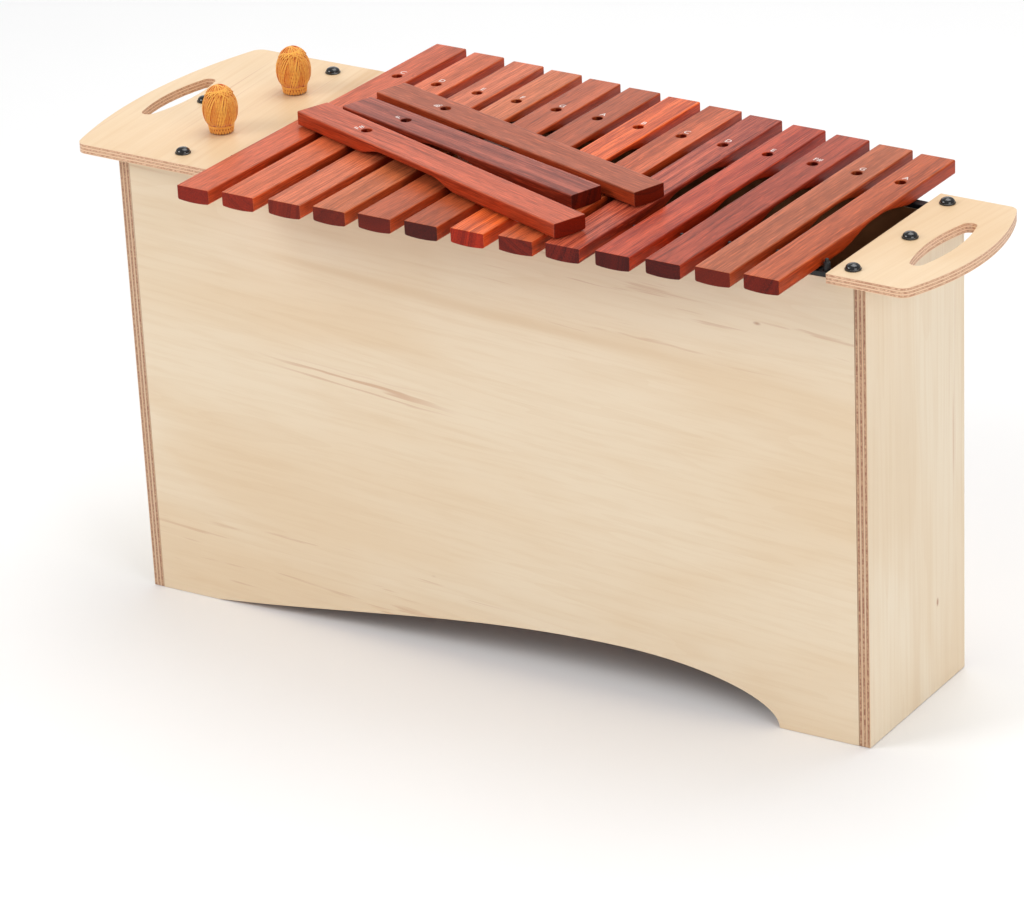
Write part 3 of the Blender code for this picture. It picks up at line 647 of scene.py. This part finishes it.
# %% [markdown]
# ## Note names
# Each bar carries the name of its note in small white print, just beyond the hole. A text object is turned
# into a mesh a tenth of a millimetre thick and laid on the wood. Names on the loose bars read along them.
# %% Print the note names
LETTER_HEIGHT = 6.6 * MM
CAPITAL = 0.7  # a capital's share of its font's size
LETTER_BEYOND = 11.5 * MM  # from the middle of the hole to the middle of the name
INK = 0.06 * MM


def white_print():
    material, tree, shader, place = new_finish("white print")
    wear = noise(tree, place, 900.0, 4.0, 0.7)
    worn = spread(tree, wear, 0.42, 0.62, 0.0, 0.35)
    shown = blend(tree, worn, colour(236, 230, 226), colour(206, 170, 158))
    tree.links.new(shown, shader.inputs["Base Color"])
    tree.links.new(spread(tree, wear, 0.3, 0.7, 0.5, 0.7), shader.inputs["Roughness"])
    return material


def note_name(name, text, size):
    bpy.ops.object.text_add()
    sign = bpy.context.object
    sign.name = name
    sign.data.body = text.replace("b", "♭") if len(text) > 1 else text
    sign.data.size = LETTER_HEIGHT / CAPITAL
    sign.data.extrude = INK
    sign.data.resolution_u = 4
    only(sign)
    bpy.ops.object.convert(target="MESH")
    sign = bpy.context.object
    xs, ys, _ = zip(*(vertex.co for vertex in sign.data.vertices))
    settle(sign, (-(min(xs) + max(xs)) / 2, -(min(ys) + max(ys)) / 2, 0))
    ahead = Vector((math.cos(size["heading"]), math.sin(size["heading"]), 0))
    spot = size["middle"] + ahead * (size["hole"] + LETTER_BEYOND)
    spot.z += size["thick"] + 0.2 * INK
    settle(sign, spot, size["heading"] - math.pi / 2)
    return sign


print_white = white_print()
for node, (note, *_) in BARS.items():
    sign = note_name(f"note_name_{node}", note, bar_sizes[node])
    sign.data.materials.clear()
    sign.data.materials.append(print_white)
    hand_over(sign, body_of_node[node], None)
print(len(BARS), "note names")

# %% [markdown]
# ## Turned pieces
# Caps, pins, shafts and mallet heads are round. Each is half an outline, drawn by extruding one vertex from
# point to point, and then spun once round Z.
# %% Spin an outline


def turned(name, outline, steps):
    """A closed round piece from (radius, height) points that start and end on the axis."""
    bpy.ops.mesh.primitive_plane_add(size=MM)
    piece = added(name)
    bpy.ops.mesh.select_all(action="SELECT")
    bpy.ops.mesh.merge(type="CENTER")
    bpy.ops.transform.translate(value=(outline[0][0], 0, outline[0][1]))
    for (radius, height), (next_radius, next_height) in zip(outline, outline[1:]):
        move = {"value": (next_radius - radius, 0, next_height - height)}
        bpy.ops.mesh.extrude_region_move(TRANSFORM_OT_translate=move)
    bpy.ops.mesh.select_all(action="SELECT")
    bpy.ops.mesh.spin(steps=steps, angle=2 * math.pi, center=(0, 0, 0), axis=(0, 0, 1))
    bpy.ops.mesh.select_all(action="SELECT")
    bpy.ops.mesh.remove_doubles(threshold=1e-6)
    bpy.ops.mesh.normals_make_consistent(inside=False)
    done()
    return piece


def copy_to(piece, name, place):
    """A copy with its own mesh, put in its place."""
    twin = piece.copy()
    twin.data = piece.data.copy()
    twin.name = twin.data.name = name
    bpy.context.scene.collection.objects.link(twin)
    settle(twin, place)
    return twin


# %% [markdown]
# ## Cap screws
# A screw with a domed black plastic cap holds each handle board in three places. The cap has a thin skirt
# and a smooth dome that mirrors the lights. Fine dust keeps the black from looking like a hole.
# %% Black plastic


def black_plastic():
    material, tree, shader, place = new_finish("black plastic")
    dust = noise(tree, place, 1400.0, 4.0, 0.7)
    haze = noise(tree, place, 60.0, 3.0)
    shown = blend(tree, spread(tree, dust, 0.60, 0.78, 0.0, 0.20), colour(9, 9, 10), colour(46, 47, 50))
    tree.links.new(shown, shader.inputs["Base Color"])
    tree.links.new(spread(tree, haze, 0.3, 0.7, 0.12, 0.24), shader.inputs["Roughness"])
    shader.inputs["Coat Weight"].default_value = 0.4
    shader.inputs["Coat Roughness"].default_value = 0.12
    bump(tree, shader, dust, 0.00002, 0.4)
    return material


# %% Caps with their screws
CAP_STEPS = 10
SKIRT = 1.3 * MM  # height of the cap's rim below its dome
SHANK_RADIUS = 2.0 * MM
caps = [node for node in frame["nodes"] if node.endswith("cap_screw")]
low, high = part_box(caps[0])
cap_radius = (high.x - low.x) / 2
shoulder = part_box("left_handle_board")[1].z + 0.3 * MM
cap_height, shank = high.z - shoulder, shoulder - low.z
dome_radius = cap_radius - 0.7 * MM
outline = [(0.0, cap_height)]
for step in range(1, CAP_STEPS + 1):
    angle = math.pi / 2 * step / CAP_STEPS
    rise = (cap_height - SKIRT) * math.cos(angle)
    outline.append((dome_radius * math.sin(angle), SKIRT + rise))
outline += [
    (cap_radius - 0.3 * MM, 1.1 * MM),
    (cap_radius, 0.8 * MM),
    (cap_radius, 0.2 * MM),
    (cap_radius - 0.3 * MM, 0.0),
    (SHANK_RADIUS, 0.0),
    (SHANK_RADIUS, 4.0 * MM - shank),
    (0.0, -shank),
]
cap = turned("cap", outline, 48)
smooth(cap, 40)
plastic = black_plastic()
cap.data.materials.append(plastic)
for node in caps:
    low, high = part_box(node)
    twin = copy_to(cap, f"domed_{node}", ((low.x + high.x) / 2, (low.y + high.y) / 2, shoulder))
    hand_over(twin, "case", "black_plastic", node)
bpy.data.objects.remove(cap)
print("cap", round(2000 * cap_radius, 1), "mm across,", round(1000 * cap_height, 1), "mm high")

# %% [markdown]
# ## Rails and pins
# The bars lie on a soft black strip along each long panel. Rubber pins stand on it, between the bars in
# front and through their holes at the back. One pin is turned, and copies of it are joined to each strip.
# %% Black rubber


def black_rubber():
    material, tree, shader, place = new_finish("black rubber")
    grain = noise(tree, place, 1100.0, 5.0, 0.7)
    shown = blend(tree, spread(tree, grain, 0.45, 0.7, 0.0, 0.5), colour(20, 20, 22), colour(46, 46, 50))
    tree.links.new(shown, shader.inputs["Base Color"])
    tree.links.new(spread(tree, grain, 0.3, 0.7, 0.42, 0.60), shader.inputs["Roughness"])
    bump(tree, shader, grain, 0.00006, 0.5)
    return material


# %% Build both rails
PIN_RADIUS = 3.4 * MM
NUB_RADIUS = 2.0 * MM
NUB_HEIGHT = 3.4 * MM
rubber = black_rubber()


def pin_tops(node):
    """The middles of the pins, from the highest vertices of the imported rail."""
    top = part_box(node)[1].z
    spots = sorted(tuple(v.co) for v in frame["nodes"][node].data.vertices if v.co.z > top - 0.01 * MM)
    pins = [[spots[0]]]
    for spot in spots[1:]:
        if spot[0] - pins[-1][-1][0] > 5 * MM:
            pins.append([])
        pins[-1].append(spot)
    found = []
    for pin in pins:
        xs, ys, _ = zip(*pin)
        found.append(((min(xs) + max(xs)) / 2, (min(ys) + max(ys)) / 2))
    return found


def strip_of(node, top):
    """The strip under the pins: a bar whose far end is moved aside, as the case narrows."""
    low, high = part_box(node)
    corners = [v.co for v in frame["nodes"][node].data.vertices if v.co.z < top + 0.01 * MM]
    ends = [[p.y for p in corners if abs(p.x - x) < 0.01 * MM] for x in (low.x, high.x)]
    near, far = ((min(ys) + max(ys)) / 2 for ys in ends)
    scale = (high.x - low.x, max(ends[0]) - min(ends[0]), top - low.z)
    middle = ((low.x + high.x) / 2, near, (low.z + top) / 2)
    bpy.ops.mesh.primitive_cube_add(size=1.0, location=middle, scale=scale)
    strip = added(f"{node}_strip")
    pick("VERT", lambda v: v.co.x > high.x - MM)
    bpy.ops.transform.translate(value=(0, far - near, 0))
    bpy.ops.mesh.select_mode(type="EDGE")
    bpy.ops.mesh.select_all(action="SELECT")
    bpy.ops.mesh.bevel(offset=0.5 * MM, segments=3, affect="EDGES")
    done()
    return strip


def rubber_pin(height):
    """A post with an eased shoulder and a nub on top, standing on the strip."""
    post = height - NUB_HEIGHT
    outline = [
        (0.0, height),
        (NUB_RADIUS - 0.6 * MM, height - 0.1 * MM),
        (NUB_RADIUS, height - 0.7 * MM),
        (NUB_RADIUS, post + 0.4 * MM),
        (NUB_RADIUS + 0.3 * MM, post),
        (PIN_RADIUS - 0.6 * MM, post),
        (PIN_RADIUS, post - 0.6 * MM),
        (PIN_RADIUS, 0.6 * MM),
        (PIN_RADIUS + 0.6 * MM, -0.2 * MM),
        (0.0, -0.2 * MM),
    ]
    pin = turned("pin", outline, 24)
    smooth(pin, 50)
    return pin


for node in ("front_rail", "back_rail"):
    strip_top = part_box("bar_01_c")[0].z - 0.3 * MM
    strip = strip_of(node, strip_top)
    smooth(strip, 40)
    pin = rubber_pin(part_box(node)[1].z - strip_top)
    pins = []
    for count, (x, y) in enumerate(pin_tops(node)):
        pins.append(copy_to(pin, f"{node}_pin_{count}", (x, y, strip_top)))
    bpy.data.objects.remove(pin)
    only(strip, *pins)
    bpy.ops.object.join()
    strip.data.materials.clear()
    strip.data.materials.append(rubber)
    hand_over(strip, "case", "black_rubber", node)
    print(strip.name, "with", len(pins), "pins")

# %% [markdown]
# ## Mallets: shafts and cores
# A mallet is a dowel with a head of wound yarn. The head's core is turned to the outline of its packed
# node, slightly smaller to leave room for the yarn. The shaft is a dowel with a rounded end.
# %% Dowel and the outline of the head


def dowel_wood():
    material, tree, shader, place = new_finish("beech dowel")
    grain = noise(tree, stretched(tree, place, 500.0, 500.0, 12.0), 1.0, 4.0, 0.6, 0.3)
    flecks = noise(tree, stretched(tree, place, 900.0, 900.0, 90.0), 1.0, 2.0)
    shown = blend(tree, spread(tree, grain, 0.35, 0.7), colour(222, 184, 136), colour(192, 146, 98))
    shown = blend(tree, spread(tree, flecks, 0.60, 0.72, 0.0, 0.5), shown, colour(150, 104, 66))
    tree.links.new(shown, shader.inputs["Base Color"])
    tree.links.new(spread(tree, grain, 0.3, 0.7, 0.42, 0.55), shader.inputs["Roughness"])
    bump(tree, shader, grain, 0.00008, 0.35)
    return material


def head_point(angle, low, high, inset):
    """Radius and height on the head's egg, angle from its top in radians."""
    radius = (high.x - low.x) / 2 - inset
    half = (high.z - low.z) / 2
    return radius * math.sin(angle), half * (1 + math.cos(angle)) - inset * math.cos(angle)


# %% [markdown]
# ## Mallets: the yarn
# The yarn is wound over the top in bundles of a few passes side by side, each bundle turned by the golden
# angle from the one before, so that they spread evenly. Short arcs then tangle the top, a row of stitches
# makes the collar, and three turns close the neck. One long curve follows that rule, and its round bevel
# gives the thread. The finish uses the curve's length: what was wound first lies deepest and gets the darkest
# painted shade.
# %% Yarn finish


def wool(name, middle, light, dark):
    """Yarn wound round a middle: its crest gets a painted highlight, its flanks painted shade, and its two
    plies twist.

    Its UV map runs along the thread and round it. The core has none, so it gets the painted shade of the
    deepest yarn.
    """
    material, tree, shader, place = new_finish(name)
    fibres = noise(tree, stretched(tree, place, 1600.0, 1600.0, 1600.0), 1.0, 3.0, 0.7)
    clouds = noise(tree, place, 120.0, 3.0)
    away = add_node(tree, "VectorMath", {0: place, 1: tuple(middle)}, operation="SUBTRACT").outputs[0]
    away = stretched(tree, away, 1, 1, 0.3)
    away = add_node(tree, "VectorMath", {0: away}, operation="NORMALIZE").outputs[0]
    facing = add_node(tree, "TexCoord").outputs["Normal"]
    crest = add_node(tree, "VectorMath", {0: facing, 1: away}, operation="DOT_PRODUCT").outputs[1]
    around = add_node(tree, "SeparateXYZ", {0: add_node(tree, "TexCoord").outputs["UV"]})
    length = around.outputs[0]
    turns = maths(tree, "ADD", maths(tree, "MULTIPLY", length, THREAD_TWISTS), around.outputs[1])
    twist = maths(tree, "SINE", maths(tree, "MULTIPLY", turns, math.tau))
    stretch = add_node(tree, "CombineXYZ", {0: maths(tree, "MULTIPLY", length, DYE_CHANGES)}).outputs[0]
    dye = noise(tree, stretch, 1.0, 2.0, 0.6)
    # painted shade: the yarn wound first lies deepest and is painted darker
    shown = blend(tree, spread(tree, length, 0.1, 0.75, 0.45, 0.0), light, dark)
    # painted highlight on the crest of each thread, painted shade on its flanks
    shown = blend(tree, spread(tree, crest, 0.50, 0.92), dark, shown)
    shown = blend(tree, spread(tree, clouds, 0.4, 0.7, 0.0, 0.15), shown, dark)
    shown = blend(tree, spread(tree, fibres, 0.5, 0.7, 0.0, 0.2), shown, dark)
    shown = blend(tree, spread(tree, dye, 0.42, 0.62, 0.0, 0.3), shown, dark)
    # painted shade in the grooves between the two plies
    shown = blend(tree, spread(tree, twist, -1.0, -0.2, 0.12, 0.0), shown, dark)
    tree.links.new(shown, shader.inputs["Base Color"])
    tree.links.new(spread(tree, fibres, 0.3, 0.7, 0.75, 0.95), shader.inputs["Roughness"])
    shader.inputs["Sheen Weight"].default_value = 0.25
    shader.inputs["Sheen Roughness"].default_value = 0.5
    bump(tree, shader, maths(tree, "MULTIPLY_ADD", twist, 0.5, fibres), 0.00025, 0.6)
    return material


# %% Wind the heads
THREAD = 0.82 * MM  # radius of the yarn
THREAD_TWISTS = 2400  # turns of its plies from end to end
DYE_CHANGES = 260  # how often the dye turns darker or lighter, from end to end
BUNDLES = 15
BUNDLE_PASSES = 5
PASS_STEP = 0.085  # turn from one pass to the next beside it
PASS_POINTS = 24
DEEPEST = 1.25 * MM  # how much deeper the first bundle lies than the last
NECK_ANGLE = math.radians(131)
NECK_HEIGHT = 7.4 * MM
GOLDEN = math.pi * (3 - math.sqrt(5))  # an angle that spreads the bundles evenly
CAP_ARCS = 22  # short passes over the top
CAP_POINTS = 14
CAP_SWEEP = math.radians(50)
STITCHES = 27
STITCH_POINTS = 8
BAND_RADIUS = 12.6 * MM
BAND_TURNS = 3
BAND_POINTS = 24
CORE_INSET = 1.5 * MM  # the core shows between the bundles


def passed(azimuth, tilt, reach, count, outline):
    """Points of one pass over the head. outline gives radius and height at an angle off the top."""
    up = Vector((0, 0, 1))
    ahead = Vector((math.cos(azimuth), math.sin(azimuth), 0))
    crown = Matrix.Rotation(tilt, 3, ahead) @ up
    points = []
    for step in range(count + 1):
        sweep = reach * (2 * step / count - 1)
        way = crown * math.cos(sweep) + ahead * math.sin(sweep)
        radius, height = outline(way.angle(up), step)
        flat = Vector((way.x, way.y, 0)).normalized() * radius
        points.append((flat.x, flat.y, height))
    return points


def winding(low, high):
    """The points of the whole thread, relative to the foot of the head."""
    points = []
    for bundle in range(BUNDLES):
        tilt = math.radians(4 + 22 * (bundle * 0.618 % 1.0)) * (1 if bundle * bundle % 7 < 3 else -1)
        inset = THREAD + DEEPEST * (1 - bundle / (BUNDLES - 1))

        def side(angle, _, inset=inset):
            radius, height = head_point(angle, low, high, inset)
            return radius, max(height, NECK_HEIGHT)

        for count in range(BUNDLE_PASSES):
            lean = tilt + 0.04 * math.sin(3 * count + bundle)
            points += passed(bundle * GOLDEN + PASS_STEP * count, lean, NECK_ANGLE, PASS_POINTS, side)

    def top(angle, step):
        lift = 0.7 * THREAD if 0 < step < CAP_POINTS else -1.2 * THREAD  # the ends dive under
        return head_point(angle, low, high, THREAD - lift)

    for arc in range(CAP_ARCS):
        lean = math.radians(34 * (arc * 0.618 % 1.0))
        points += passed(arc * GOLDEN, lean, CAP_SWEEP, CAP_POINTS, top)
    for step in range(STITCHES * STITCH_POINTS):
        angle = math.tau * step / (STITCHES * STITCH_POINTS) * 1.02
        rise = 0.5 - 0.5 * math.cos(math.tau * step / STITCH_POINTS)
        out, height = BAND_RADIUS - (1.1 - 0.7 * rise) * MM, (0.9 + 5.8 * rise) * MM
        points.append((out * math.cos(angle), out * math.sin(angle), height))
    for step in range(BAND_TURNS * BAND_POINTS):
        angle = math.tau * step / BAND_POINTS
        climb = 2.4 * step / (BAND_TURNS * BAND_POINTS) + 0.25 * math.sin(5 * angle)
        points.append((BAND_RADIUS * math.cos(angle), BAND_RADIUS * math.sin(angle), (6.4 + climb) * MM))
    return points


LIGHT_YARN, DARK_YARN = colour(255, 194, 84), colour(206, 86, 6)
dowel = dowel_wood()
for place in ("front", "back"):
    low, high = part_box(f"{place}_mallet_head")
    foot = Vector(((low.x + high.x) / 2, (low.y + high.y) / 2, low.z))
    egg = [head_point(math.radians(8 * step), low, high, CORE_INSET) for step in range(18)]
    outline = [*egg, (11.6 * MM, 4.5 * MM), (10.8 * MM, 0.7 * MM), (0.0, 0.4 * MM)]
    core = turned(f"{place}_mallet_core", outline, 32)
    heart = foot + Vector((0, 0, 0.55 * (high.z - low.z)))
    yarn = wool(f"orange yarn of the {place} mallet", heart, LIGHT_YARN, DARK_YARN)
    core.data.materials.append(yarn)
    settle(core, foot)
    smooth(core, 60)
    hand_over(core, f"{place}_mallet", "orange_yarn", f"{place}_mallet_head")

    route = winding(low, high)
    thread = bpy.data.curves.new(f"{place}_mallet_yarn", "CURVE")
    thread.dimensions = "3D"
    thread.bevel_depth = THREAD
    thread.bevel_resolution = 1
    thread.use_fill_caps = True
    spline = thread.splines.new("POLY")
    spline.points.add(len(route) - 1)
    for point, spot in zip(spline.points, route):
        point.co = (*spot, 1.0)
    wound = bpy.data.objects.new(f"{place}_mallet_yarn", thread)
    bpy.context.scene.collection.objects.link(wound)
    only(wound)
    bpy.ops.object.convert(target="MESH")
    settle(wound, foot)
    only(wound)
    bpy.ops.object.shade_smooth()
    wound.data.materials.clear()
    wound.data.materials.append(yarn)
    hand_over(wound, f"{place}_mallet", "orange_yarn")

    low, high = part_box(f"{place}_mallet_shaft")
    radius, length = (high.x - low.x) / 2, high.z - low.z
    tip = [(1.0, 0.9), (0.92, 0.5), (0.7, 0.18), (0.4, 0.03), (0.0, 0.0)]
    outline = [(0.0, length), (radius, length), *((radius * out, radius * up) for out, up in tip)]
    shaft = turned(f"{place}_mallet_dowel", outline, 32)
    shaft.data.materials.append(dowel)
    settle(shaft, Vector((foot.x, foot.y, low.z)))
    smooth(shaft, 40)
    hand_over(shaft, f"{place}_mallet", "beech_dowel", f"{place}_mallet_shaft")
    print(f"{place} mallet:", len(wound.data.polygons), "faces of yarn")

# %% [markdown]
# ## Floor, light and camera
# A pale floor and four large soft lights, as in a small studio: the key high at the front left, a fill low
# at the right, one overhead, and a weak one behind that puts a soft sheen on the tops of the bars.
# %% Floor
bpy.ops.mesh.primitive_plane_add(size=30.0, location=(0, 0, -0.0005))
floor = bpy.context.object
floor.name = "studio_floor"
material, tree, shader, place = new_finish("studio floor")
mottle = noise(tree, place, 3.0, 2.0)
shown = blend(tree, mottle, (0.95, 0.95, 0.95, 1), (0.97, 0.97, 0.97, 1))
tree.links.new(shown, shader.inputs["Base Color"])
shader.inputs["Roughness"].default_value = 0.9
floor.data.materials.append(material)
floor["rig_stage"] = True

# %% Lights
AIM = Vector((0, 0, 0.35))


def soft_light(name, place, size, power):
    """A square light that faces the keyboard and doesn't show itself."""
    lamp = bpy.data.lights.new(name, "AREA")
    lamp.shape = "SQUARE"
    lamp.size = size
    lamp.energy = power
    thing = bpy.data.objects.new(name, lamp)
    bpy.context.scene.collection.objects.link(thing)
    thing.location = place
    thing.visible_camera = False
    thing.rotation_euler = (AIM - Vector(place)).to_track_quat("-Z", "Y").to_euler()


soft_light("key", (-2.6, -2.8, 3.0), 2.0, 72)
soft_light("fill", (3.6, -1.6, 1.8), 2.2, 50)
soft_light("top", (0.2, 1.0, 3.6), 2.4, 58)
soft_light("sheen", (-2.9, 4.2, 2.1), 3.4, 26)
world = bpy.data.worlds.new("studio")
world.use_nodes = True
sky = world.node_tree.nodes["Background"]
sky.inputs["Color"].default_value = (1.0, 1.0, 1.0, 1.0)
sky.inputs["Strength"].default_value = 0.50
bpy.context.scene.world = world
bpy.context.scene.view_settings.view_transform = "Standard"

# %% Camera
lens = bpy.data.cameras.new("camera")
lens.sensor_width = 36.0
lens.lens = 156.5
camera = bpy.data.objects.new("camera", lens)
bpy.context.scene.collection.objects.link(camera)
camera.location = (2.236, -3.373, 2.048)
AROUND, DOWN, ROLL = math.radians(34.18), math.radians(24.70), math.radians(2.72)
turn = Matrix.Rotation(AROUND, 3, "Z") @ Matrix.Rotation(math.pi / 2 - DOWN, 3, "X")
turn = turn @ Matrix.Rotation(-ROLL, 3, "Z")
camera.rotation_euler = turn.to_euler()
bpy.context.scene.camera = camera
print("camera", [round(part, 2) for part in camera.location], "m")

# %% Compare the sizes and finish
low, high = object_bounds()
grown = [round(1000 * part, 1) for part in (*(cad_low - low), *(high - cad_high))]
print("grown by", grown, "mm")
